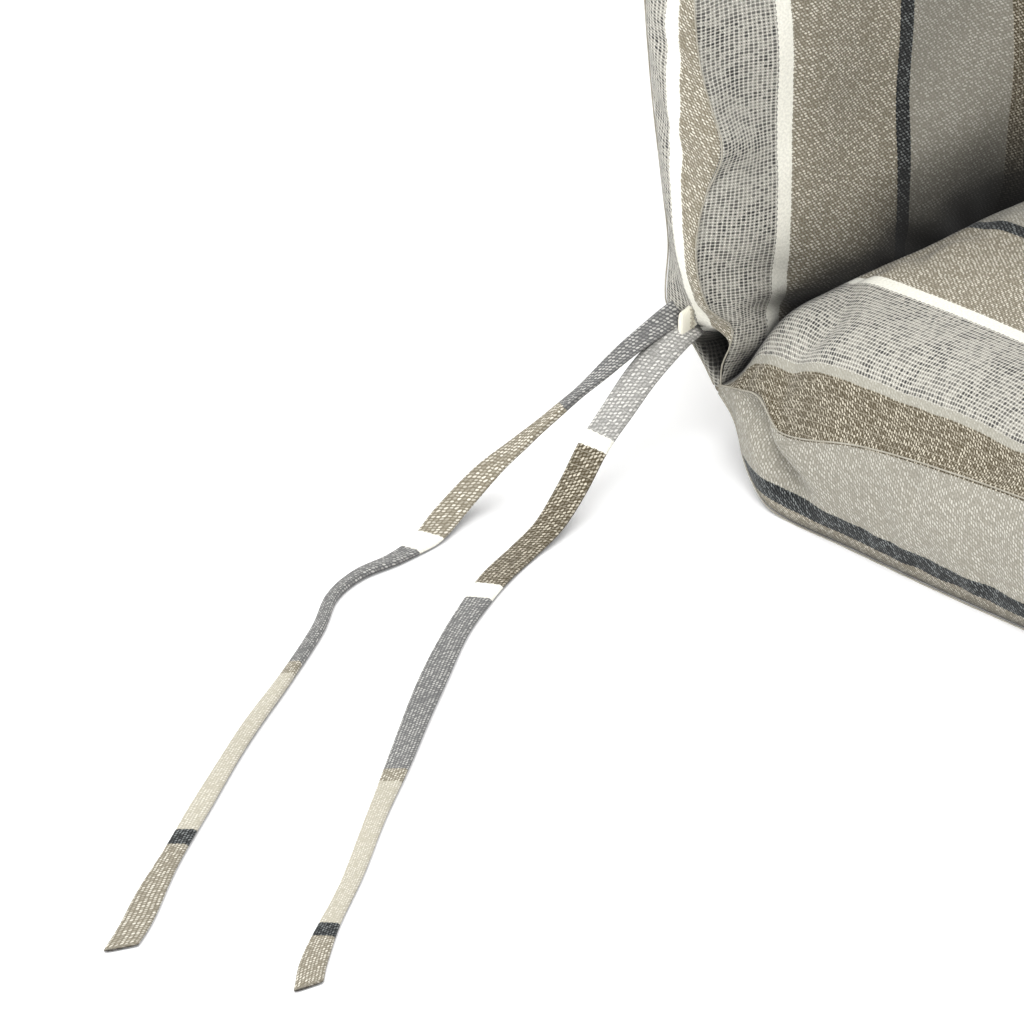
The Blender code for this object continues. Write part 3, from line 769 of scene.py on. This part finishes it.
def makeTie(tie):
    world = [(tieStart.x - out, tieStart.y + back, height) for out, back, height in tie["route"]]
    line = smoothRoute(world, tapePlan["step"] * mm)
    far = lengthsAlong(line, 0) / mm
    width, thick = profile(tie["width"], far) / 2 * mm, profile(tie["thick"], far) / 2 * mm
    roll = np.radians(profile(tie["roll"], far))
    tangent = unitRows(np.gradient(line, axis=0))
    level = unitRows(np.cross(tangent, [0, 0, 1.0]))
    upright = np.cross(level, tangent)
    sideways = np.cos(roll)[:, None] * level + np.sin(roll)[:, None] * upright
    facing = np.cross(sideways, tangent)
    waver = 1 + tapePlan["waver"] * np.sin(far / 13 + 1.3)
    nearEnd = np.clip((far - far[-1] + tapePlan["endLong"]) / tapePlan["endLong"], 0, 1)
    rings = []
    for t in np.linspace(0, 2 * math.pi, tapePlan["sides"], endpoint=False):
        # a flat folded tape: a squared oval, thicker along one edge, cut slanting at the end
        across = math.copysign(abs(math.cos(t)) ** 0.7, math.cos(t))
        up = math.copysign(abs(math.sin(t)) ** 0.8, math.sin(t)) * (1 + 0.18 * math.cos(2 * t + 0.6))
        slant = nearEnd * across * tapePlan["endSlant"] * mm
        rings.append(line + sideways * (across * width * waver)[:, None] + facing * (up * thick)[:, None]
                     + tangent * slant[:, None])
    points = np.stack(rings, 1)
    points[..., 2] += np.maximum(floorGap - points[..., 2].min(axis=1), 0)[:, None]      # it rests on the floor
    count, sides = points.shape[:2]
    girth = np.concatenate([[0], np.cumsum(np.linalg.norm(np.roll(points, -1, 1) - points, axis=2).mean(0))])
    places = []
    for i in range(count - 1):
        for k in range(sides):
            places += [(far[i] * mm, girth[k]), (far[i] * mm, girth[k + 1]),
                       (far[i + 1] * mm, girth[k + 1]), (far[i + 1] * mm, girth[k])]
    for ring, order in ((0, -1), (count - 1, 1)):
        places += [(far[ring] * mm, girth[k]) for k in range(sides)][::order]
    piece = makeRings(tie["name"], points, ringFaces(count, sides), tie["cloth"])
    piece.data.uv_layers.new(name="fabric").data.foreach_set("uv", np.array(places, np.float32).ravel())
    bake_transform(piece)
    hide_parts(tie["node"])
    path = points.mean(axis=1)[::2]
    print(tie["name"], round(float(lengthsAlong(path, 0)[-1]), 3), "m long")


for tie in (rearTie, frontTie):
    makeTie(tie)

# tabs that hold the ties, their stitching, and the line where both pads are sewn together
tabPlan = {"long": 11, "wide": 17, "thick": 3.0, "into": 9, "forward": 4.0, "droop": 3, "rings": 9, "sides": 16}
bartackPlan = {"turns": 9, "wide": 9, "thread": 0.4, "step": 0.5}
foldRollPlan = {"radius": 2.2, "waver": 0.3, "step": 3.0}


def makeTab(side):
    node = "tie_tab_" + side
    low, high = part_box(node)
    sign = -1 if side == "left" else 1
    middle = (low + high) / 2 - Vector((0, tabPlan["forward"] * mm, 0))
    root = abs(high.x if sign < 0 else low.x) - tabPlan["into"] * mm
    long, wide, thick = tabPlan["long"] * mm, tabPlan["wide"] * mm, tabPlan["thick"] * mm
    rings, sides = tabPlan["rings"], tabPlan["sides"]
    points = []
    for t in np.linspace(0, 1, rings):
        swell = 0.62 + 0.5 * math.sin(math.pi * (0.12 + 0.76 * t))
        for angle in np.linspace(0, 2 * math.pi, sides, endpoint=False):
            c, s = math.cos(angle), math.sin(angle)
            across = math.copysign(abs(c) ** 0.6, c) * wide / 2 * (0.9 + 0.1 * math.cos(3.1 * t + 1))
            out = math.copysign(abs(s) ** 0.7, s) * thick / 2 * swell
            out = out * (1 + 0.15 * math.cos(2 * angle + 3 * t))
            droop = tabPlan["droop"] * mm * t
            points.append((sign * (root + long * t), middle.y + out, middle.z + across - droop))
    faces = ringFaces(rings, sides)
    tab = makeRings("tab_" + side, points, faces if sign < 0 else [f[::-1] for f in faces], tabCloth)
    addSubdivision(tab)
    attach(tab, "back")
    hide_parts(node)
    # zigzag stitches across the tab's root
    turns = bartackPlan["turns"]
    zigzag = [(sign * (root + (0.35 + 0.2 * (n % 2)) * long), middle.y - thick * 0.56,
               middle.z + (n / turns - 0.5) * bartackPlan["wide"] * mm) for n in range(turns + 1)]
    stitches = tubeAlong("bartack_stitches_" + side, evenPoints(zigzag, bartackPlan["step"] * mm),
                         bartackPlan["thread"] * mm, threadCloth, 6)
    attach(stitches, "back")
    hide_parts("bartack_" + side)


for side in ("left", "right"):
    makeTab(side)
foldWaver = foldRollPlan["waver"] * mm
foldLine = [(x * mm, foldPoint.y + foldWaver * math.sin(x / 9), foldPoint.z + foldWaver * math.sin(x / 13 + 1))
            for x in np.arange(-waistHalf + 0.5, waistHalf, foldRollPlan["step"])]
foldRoll = tubeAlong("fold_roll", foldLine, foldRollPlan["radius"] * mm, foldCloth, 12)
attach(foldRoll, "seat")
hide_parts("fold_binding")
print("tabs, bartacks and fold sewn")

# floor, light and camera
floorPlan = {"size": 14.0, "grey": 0.93, "rough": 0.9, "glow": 0.16}
bpy.ops.mesh.primitive_plane_add(size=floorPlan["size"], location=(0, 0, 0))
floor = bpy.context.object
floor.name = "floor"
floorPaper, floorTree, floorShader = newMaterial("floor paper")
floorShader.inputs["Base Color"].default_value = (floorPlan["grey"], floorPlan["grey"], floorPlan["grey"], 1)
floorShader.inputs["Roughness"].default_value = floorPlan["rough"]
floorShader.inputs["Emission Color"].default_value = (1, 1, 1, 1)
floorShader.inputs["Emission Strength"].default_value = floorPlan["glow"]
floor.data.materials.append(floorPaper)

lights = {
    "overhead": {"place": (-0.3, -0.1, 3.2), "size": 3.6, "power": 90},
    "key": {"place": (-2.0, -1.2, 2.5), "size": 2.0, "power": 58},
    "side": {"place": (-2.4, 0.9, 1.1), "size": 1.6, "power": 20},
}
lightTarget = Vector((0, 0, 0.1))
skyStrength = 0.33
for name, light in lights.items():
    lamp = bpy.data.lights.new(name, "AREA")
    lamp.shape, lamp.size, lamp.energy = "DISK", light["size"], light["power"]
    holder = bpy.data.objects.new(name, lamp)
    holder.location = light["place"]
    holder.rotation_euler = (lightTarget - holder.location).to_track_quat("-Z", "Y").to_euler()
    bpy.context.scene.collection.objects.link(holder)
studio = bpy.data.worlds.new("studio")
studio.use_nodes = True
sky = studio.node_tree.nodes["Background"]
sky.inputs["Color"].default_value = (1, 1, 1, 1)
sky.inputs["Strength"].default_value = skyStrength
bpy.context.scene.world = studio
bpy.context.scene.view_settings.view_transform = "Standard"
print("floor and lights set")

# the camera looks at a point beside the fold's left end, from far away through a long lens
cameraPlan = {"azimuth": -45.6, "elevation": 26.5, "distance": 6.0, "span": 0.427, "right": 0.0858, "up": 0.0517,
              "sensor": 36}
turn, tilt = math.radians(cameraPlan["azimuth"]), math.radians(cameraPlan["elevation"])
toCamera = Vector((math.sin(turn) * math.cos(tilt), -math.cos(turn) * math.cos(tilt), math.sin(tilt)))
rightWay = Vector((math.cos(turn), math.sin(turn), 0))
upWay = toCamera.cross(rightWay)
foldCorner = Vector((-waistHalf * mm, foldPoint.y, foldPoint.z))
aim = foldCorner - rightWay * cameraPlan["right"] - upWay * cameraPlan["up"]
lens = bpy.data.cameras.new("camera")
lens.sensor_width = cameraPlan["sensor"]
lens.lens = cameraPlan["sensor"] * cameraPlan["distance"] / cameraPlan["span"]
camera = bpy.data.objects.new("camera", lens)
camera.location = aim + toCamera * cameraPlan["distance"]
camera.rotation_euler = (-toCamera).to_track_quat("-Z", "Y").to_euler()
bpy.context.scene.collection.objects.link(camera)
bpy.context.scene.camera = camera
